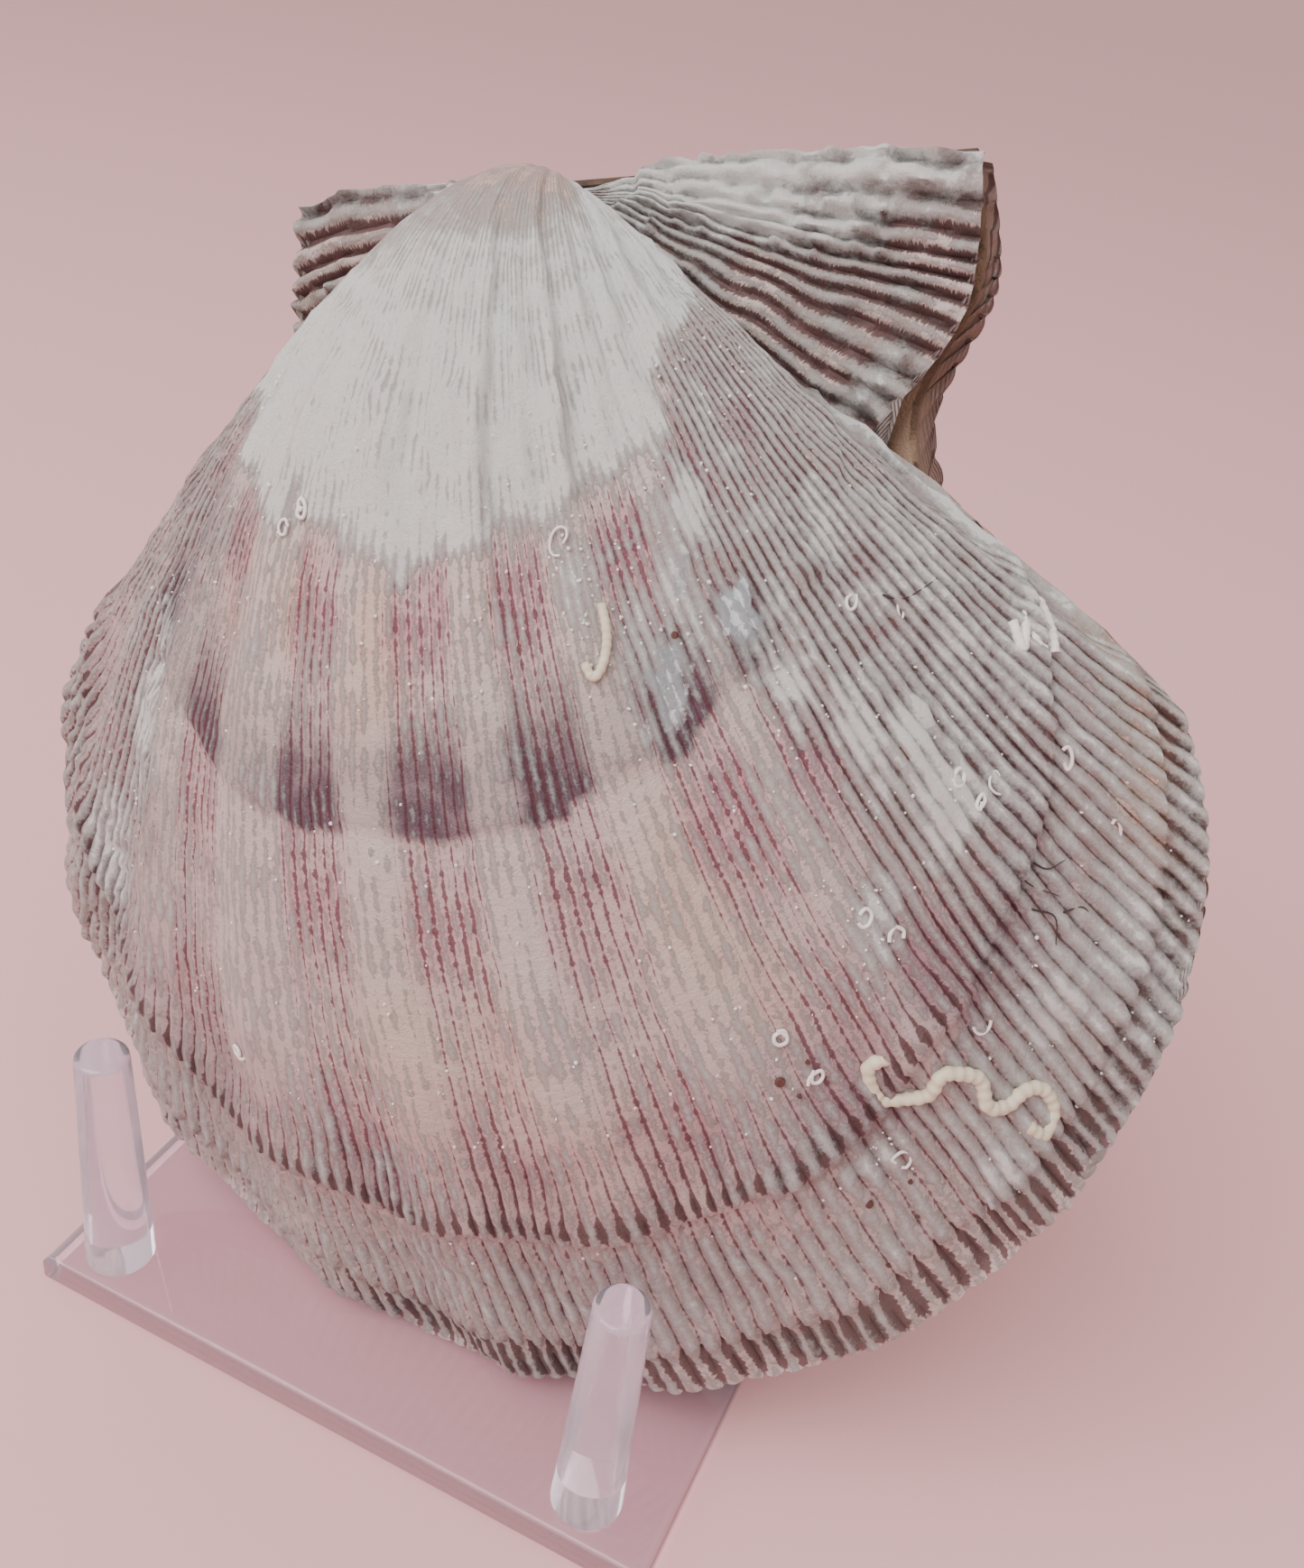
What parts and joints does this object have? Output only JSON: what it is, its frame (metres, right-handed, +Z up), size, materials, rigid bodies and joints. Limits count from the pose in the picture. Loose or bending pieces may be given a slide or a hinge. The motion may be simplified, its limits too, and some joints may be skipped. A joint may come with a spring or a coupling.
{
  "type": "lion paw scallop shell on a clear stand",
  "caption": "Closed lion paw scallop shell with ribbed halves, ears and a worm tube, standing on a clear plate with upright pegs.",
  "frame": {"origin": "centre of the plate's underside", "axes": "+Z up, -Y towards the front, where the right half of the shell faces, +X towards the larger ears"},
  "size_m": [0.1357, 0.0809, 0.1421],
  "materials": {
    "shell": "dry chalky shell, ribbed and lightly encrusted",
    "ligament": "dried dark ligament",
    "worm_tube": "cream lime tube, ringed",
    "clear_acrylic": "clear polished acrylic"
  },
  "bodies": {
    "root": {"right_valve": "shell", "left_valve": "shell", "hinge_ligament": "ligament", "worm_tube": "worm_tube", "base_plate": "clear_acrylic", "front_peg_left": "clear_acrylic", "front_peg_right": "clear_acrylic", "back_peg_left": "clear_acrylic", "back_peg_right": "clear_acrylic"}
  },
  "joints": []
}
